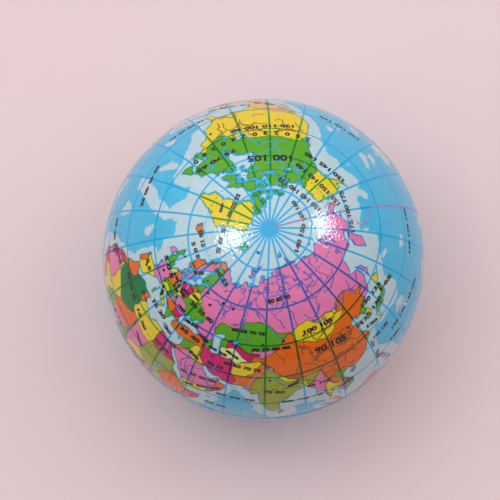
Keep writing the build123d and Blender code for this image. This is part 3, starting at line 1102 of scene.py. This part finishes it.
def coordinate(tree, kind):
    """A texture coordinate."""
    return Result(tree, add(tree, "ShaderNodeTexCoord").outputs[kind])


def parts_of(vector):
    """The x, y and z of a vector."""
    node = add(vector.tree, "ShaderNodeSeparateXYZ", {0: vector})
    return [Result(vector.tree, output) for output in node.outputs]


def noise(place, scale, detail=2.0, roughness=0.5):
    """Noise from 0 to 1 at scale bumps for each unit of place."""
    inputs = {"Vector": place, "Scale": scale, "Detail": detail, "Roughness": roughness}
    return work("ShaderNodeTexNoise", inputs, "Fac")


def soft_step(value, low, high):
    """0 below low and 1 above high, with a smooth rise between."""
    inputs = {"Value": value, "From Min": low, "From Max": high}
    return work("ShaderNodeMapRange", inputs, interpolation_type="SMOOTHSTEP")


def relief(shader, height, strength, distance):
    """Gives the surface its bumps."""
    bump = work("ShaderNodeBump", {"Strength": strength, "Distance": distance, "Height": height})
    feed(shader, "Normal", bump)


def new_material(name):
    """A material with an empty node tree, its Principled BSDF already joined to the output."""
    made = bpy.data.materials.new(name)
    made.use_nodes = True
    tree = made.node_tree
    tree.nodes.clear()
    shader = add(tree, "ShaderNodeBsdfPrincipled")
    add(tree, "ShaderNodeOutputMaterial", {"Surface": Result(tree, shader.outputs[0])})
    return made, tree, shader


# ---------------------------------------------------------------- materials
# Half the widths of the printed lines and of their soft edges, in mm. Where a coast's line is wider
# than FINE_COAST, it moves out to sea by the difference.
LINE_SOFTNESS = 0.03
BORDER_LINE = 0.09
RIVER_LINE = 0.12
GRID_LINE = 0.2
DASHED_LINE = 0.11
FINE_COAST = 0.13
UNPRINTED = -9.0  # lower than any field
# How strong the lines' inks are.
BORDER_STRENGTH, RIVER_STRENGTH, SEA_LINE_STRENGTH, SEAM_STRENGTH = 0.95, 0.9, 0.92, 0.85
# In degrees: the graticule's step, the latitudes of the dashed circles and of the edge of the blot of
# ink at a pole, and the dashes' pitch and gap.
GRID_STEP = 15.0
POLAR_CIRCLE, TROPIC = 66.5, 23.5
POLE_BLOT = (86.2, 87.4)
DASH_DEGREES, DASH_GAP = 4.0, 1.6


def ink_line(distance, half_width):
    """1 on a line where distance crosses 0, with a slightly soft edge."""
    return 1.0 - soft_step(abs(distance) - half_width, -LINE_SOFTNESS, LINE_SOFTNESS)


def from_grid(degrees):
    """How many degrees to the nearest line of the graticule."""
    return abs(degrees.by("WRAP", GRID_STEP / 2, -GRID_STEP / 2))


def graticule(place, fray):
    """Parallels and meridians, and the dashed polar circles and tropics, as one ink share."""
    east, back, up = parts_of(place)
    latitude = up.by("ARCSINE").by("DEGREES")
    longitude = east.by("ARCTAN2", back * -1.0).by("DEGREES")
    height = abs(latitude)
    degree_mm = math.radians(1.0) * RADIUS_MM
    parallel = from_grid(latitude) * degree_mm
    meridian = from_grid(longitude) * degree_mm * latitude.by("RADIANS").by("COSINE")
    grid = ink_line(smaller(parallel, meridian) + fray * 0.3, GRID_LINE)
    grid = larger(grid, soft_step(height, *POLE_BLOT))
    circle = smaller(abs(height - POLAR_CIRCLE), abs(height - TROPIC)) * degree_mm
    dash = longitude.by("WRAP", DASH_DEGREES, 0.0) > DASH_GAP
    return larger(grid, ink_line(circle, DASHED_LINE) * dash)


def equator_print(place, on_ball, colour):
    """The bright line along the seam, and the pale streaks where the film was drawn down beside it."""
    level = abs(parts_of(place)[2]) * RADIUS_MM
    upright = work("ShaderNodeVectorMath", {0: on_ball, 1: (1.0, 1.0, 0.12)}, operation="MULTIPLY")
    streak = soft_step(noise(upright, 1.1, 3.0, 0.6), 0.5, 0.66)
    near = 1.0 - soft_step(level, 0.5, 7.5)
    colour = mix(streak * near * 0.42, colour, BARE_FILM)
    seam = 1.0 - soft_step(level, 0.85, 1.05)
    return mix(seam * SEAM_STRENGTH, colour, RIVER_INKS["blue"])


def film_material():
    """Process-ink print on a formed polyurethane film, with a satin grained skin."""
    made, tree, shader = new_material("printed_film")
    on_ball = field(tree, "on_ball", "Vector")
    place = field(tree, "map_place", "Vector")
    fray = (noise(on_ball, 3.2) - 0.5) * 0.26

    land = field(tree, "land") + fray
    ashore = land > 0.0
    deep = field(tree, "deep") + fray * 3.0
    colour = mix(soft_step(deep, -0.1, 0.12), SHALLOW_SEA, DEEP_SEA)
    strongest = yellow_plate = UNPRINTED
    for ink, ink_colour in LAND_INKS.items():
        inside = field(tree, ink)
        colour = mix((inside > strongest) * ashore, colour, ink_colour)
        strongest = larger(inside, strongest)
        if ink in WITH_YELLOW:
            yellow_plate = larger(inside, yellow_plate)
    spread = soft_step(yellow_plate, -0.34, -0.2) * (yellow_plate < 0.0)
    colour = mix(spread * 0.75, colour, YELLOW_SPREAD, "MULTIPLY")

    mottle = noise(on_ball, 0.55, 3.0)
    grain = noise(on_ball, 2.6)
    tone = mottle * 0.22 + grain * 0.14 + 0.82
    grey = work("ShaderNodeCombineColor", {0: tone, 1: tone, 2: tone})
    colour = mix(1.0, colour, grey, "MULTIPLY")

    border = ink_line(strongest + fray, BORDER_LINE) * (land > 0.05)
    width = field(tree, "coast_width")
    wider = width - FINE_COAST
    coast = ink_line(land + wider + fray * wider * 16.0, width)
    lines = larger(larger(border * BORDER_STRENGTH, coast), graticule(place, fray))
    over_land = mix(lines, colour, CYAN_INK, "MULTIPLY")
    over_sea = mix(lines * SEA_LINE_STRENGTH, colour, SEA_LINE_INK)
    colour = mix(ashore, over_sea, over_land)

    tint = field(tree, "river_tint")
    river_ink = mix(tint > 0.5, RIVER_INKS["blue"], RIVER_INKS["violet"])
    river_ink = mix(tint > 1.5, river_ink, RIVER_INKS["brown"])
    river = ink_line(field(tree, "river") + fray, RIVER_LINE) * (field(tree, "river_gap") < 0.5) * ashore
    colour = mix(river * RIVER_STRENGTH, colour, river_ink)

    colour = equator_print(place, on_ball, colour)
    feed(shader, "Base Color", mix(field(tree, "depth") < 0.1, BARE_FILM, colour))

    pebble = noise(on_ball, 1.9, 0.6)
    orange_peel = noise(on_ball, 0.9)
    relief(shader, orange_peel * 0.3 + pebble, 0.9, 0.06 * MM)
    feed(shader, "Roughness", pebble * 0.08 + mottle * 0.06 + 0.08)
    shader.inputs["Specular IOR Level"].default_value = 0.3
    return made


def foam_material():
    """Pale polyurethane foam with its small open pores, painted darker in their depths as shade."""
    made, tree, shader = new_material("moulded_foam")
    on_ball = field(tree, "on_ball", "Vector")
    pores = work("ShaderNodeTexVoronoi", {"Vector": on_ball, "Scale": 2.4}, "Distance")
    cloud = noise(on_ball, 0.4, 3.0)
    pore_depth_and_shade = soft_step(pores, 0.05, 0.32)
    colour = mix(cloud, srgb(238, 232, 214), srgb(222, 212, 190))
    # painted shade: each pore's floor is coloured dark brown, and the same mask sinks it in the bump
    feed(shader, "Base Color", mix(pore_depth_and_shade, srgb(150, 138, 116), colour))
    relief(shader, pore_depth_and_shade, 0.6, 0.1 * MM)
    feed(shader, "Roughness", cloud * 0.15 + 0.78)
    return made


def ink_material(name, colour, worn):
    """A thin overprinted ink, a little uneven and worn through in specks."""
    made, tree, shader = new_material(name)
    uneven = noise(coordinate(tree, "Object"), 900.0, 3.0)
    feed(shader, "Base Color", mix(soft_step(uneven, 0.35, 0.75), colour, worn))
    feed(shader, "Roughness", uneven * 0.2 + 0.32)
    return made


# ---------------------------------------------------------------- assembly
FLOOR_ANCHOR = (0, 0, 0)
TOP_ANCHOR = (0, 0, TOP)

film_ink = film_material()
north = film_half("printed_film_north", 1)
south = film_half("printed_film_south", -1)
core = foam_core()
for piece in (north, south):
    piece.data.materials.append(film_ink)
core.data.materials.append(foam_material())

for piece, body, anchor, node in (
    (north, "upper", TOP_ANCHOR, "film_north"),
    (south, "lower", FLOOR_ANCHOR, "film_south"),
    (core, "lower", FLOOR_ANCHOR, "foam_core"),
):
    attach(piece, body)
    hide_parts(node)
    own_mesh(piece)


def overprint(name, parts, material, body):
    """One piece of raised ink on one half, which flattens with it."""
    made = make_object(name, *gather(parts))
    made.data.materials.append(material)
    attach(made, body)
    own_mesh(made)


def degree_numbers():
    """Every row of digits in NUMBERS."""
    made = []
    for row in rows(NUMBERS):
        digits, placing = row.split(":")
        made.append(numeral(digits, *[float(number) for number in placing.split()]))
    return made


def spread_digits():
    """The line of single digits."""
    spread = np.linspace(SPREAD_FIRST, SPREAD_LAST, len(SPREAD_DIGITS))
    return [
        numeral(digit, lon, SPREAD_LATITUDE, SPREAD_WIDTH, SPREAD_HEIGHT)
        for digit, lon in zip(SPREAD_DIGITS, spread)
    ]


def patches(places, corners):
    """The same small face at each place."""
    return [patch(lon, lat, outline(corners)) for lon, lat in outline(places)]


black = ink_material("black_ink", srgb(16, 14, 18), srgb(40, 38, 42))
magenta = ink_material("magenta_ink", srgb(214, 60, 140), srgb(226, 110, 170))
marks = degree_numbers() + spread_digits()
marks += patches(SQUARES, SQUARE_CORNERS) + patches(TRIANGLES, TRIANGLE_CORNERS)
marks_north, marks_south = split_by_half(marks)
overprint("grid_numbers_north", marks_north, black, "upper")
overprint("grid_numbers_south", marks_south, black, "lower")
overprint("date_line_north", [dashes(outline(DATE_LINE))], magenta, "upper")
overprint("date_line_south", [dashes(outline(DATE_LINE_SOUTH))], magenta, "lower")

# ---------------------------------------------------------------- floor, lights and camera
AZIMUTH, ELEVATION, ROLL = math.radians(64.39), math.radians(79.04), math.radians(10.39)
CAMERA_DISTANCE = 30 * RADIUS
LENS, SENSOR = 347.5, 36.0
CLIP_START, CLIP_END = 0.05, 100
MIDDLE = Vector((0, 0, SEAM_LEVEL))
LEVEL_RIGHT = Vector((math.cos(AZIMUTH), math.sin(AZIMUTH), 0))
BACK = Vector((
    math.sin(AZIMUTH) * math.cos(ELEVATION), -math.cos(AZIMUTH) * math.cos(ELEVATION), math.sin(ELEVATION)
))
LEVEL_UP = BACK.cross(LEVEL_RIGHT)
RIGHT = LEVEL_RIGHT * math.cos(ROLL) + LEVEL_UP * math.sin(ROLL)
UP = LEVEL_UP * math.cos(ROLL) - LEVEL_RIGHT * math.sin(ROLL)
BALL_RIGHT, BALL_DOWN = 2.6 * MM, 1.81 * MM  # how far the ball is from the middle of the view
AIM = MIDDLE - RIGHT * BALL_RIGHT + UP * BALL_DOWN


def turn_to(made, right, up, back):
    """Points a camera or light along -back, with its own right and up."""
    made.rotation_mode = "QUATERNION"
    matrix = [[right[i], up[i], back[i]] for i in range(3)]
    made.rotation_quaternion = Matrix(matrix).to_quaternion()


def make_camera():
    """A camera that looks from nearly above, turned a little."""
    data = bpy.data.cameras.new("camera")
    data.lens = LENS
    data.sensor_width = SENSOR
    data.clip_start, data.clip_end = CLIP_START, CLIP_END
    camera = bpy.data.objects.new("camera", data)
    bpy.context.scene.collection.objects.link(camera)
    camera.location = AIM + BACK * CAMERA_DISTANCE
    turn_to(camera, RIGHT, UP, BACK)
    bpy.context.scene.camera = camera


LIGHT_DISTANCE = 0.9
SOFT_BOX = (0.9, 0.9)


def lamp(name, toward, size, power, colour):
    """An area lamp of size (across, up) in a direction from the ball given as (right, up, back)."""
    data = bpy.data.lights.new(name, "AREA")
    data.shape = "RECTANGLE"
    data.size, data.size_y = size
    data.energy = power
    data.color = colour
    made = bpy.data.objects.new(name, data)
    bpy.context.scene.collection.objects.link(made)
    way = (RIGHT * toward[0] + UP * toward[1] + BACK * toward[2]).normalized()
    across = UP.cross(way).normalized()
    made.location = MIDDLE + way * LIGHT_DISTANCE
    turn_to(made, across, way.cross(across), way)
    return made


def soft_light(name, toward, power, gleam, gleam_power, colour):
    """A wide soft box for the matte light, and a small lamp of size gleam for its highlight in the gloss."""
    lamp(name + "_box", toward, SOFT_BOX, power, colour).visible_glossy = False
    lamp(name + "_gleam", toward, gleam, gleam_power, colour).visible_diffuse = False


FLOOR_HALF = 40.0


def make_floor():
    """A plain pale floor."""
    corners = [(-1, -1), (1, -1), (1, 1), (-1, 1)]
    floor = make_object("floor", [(FLOOR_HALF * x, FLOOR_HALF * y, 0) for x, y in corners], [(0, 1, 2, 3)])
    made, tree, shader = new_material("pale_floor")
    cloud = noise(coordinate(tree, "Object"), 14.0, 3.0)
    feed(shader, "Base Color", mix(cloud, srgb(228, 203, 205), srgb(236, 212, 213)))
    shader.inputs["Roughness"].default_value = 0.7
    floor.data.materials.append(made)


SKY_DARKEST = 0.04
SKY_BRIGHTEST = 1.24
SKY_EDGE = 0.2  # the cosine from the bright way at which the sky is darkest


def make_world():
    """Pale light from all round, stronger from above the ball's far side, as beside a window."""
    world = bpy.data.worlds.new("studio")
    world.use_nodes = True
    sky = world.node_tree.nodes["Background"]
    sky.inputs["Color"].default_value = (1.0, 0.97, 0.98, 1.0)
    bright_way = (UP * 0.5 + BACK * 0.87 - RIGHT * 0.12).normalized()
    looking = coordinate(world.node_tree, "Generated")
    facing = work("ShaderNodeVectorMath", {0: looking, 1: bright_way}, "Value", operation="DOT_PRODUCT")
    strength = {"From Min": SKY_EDGE, "From Max": 1.0, "To Min": SKY_DARKEST, "To Max": SKY_BRIGHTEST}
    feed(sky, "Strength", work("ShaderNodeMapRange", {"Value": facing} | strength))
    bpy.context.scene.world = world


make_camera()
make_floor()
make_world()
soft_light("key", (-0.36, 0.262, 0.895), 1.95, (0.19, 0.15), 5.2, (1.0, 0.98, 0.97))
soft_light("fill", (0.68, 0.37, 0.635), 1.35, (0.17, 0.21), 5.6, (1.0, 0.98, 0.99))
bpy.context.scene.view_settings.view_transform = "Standard"
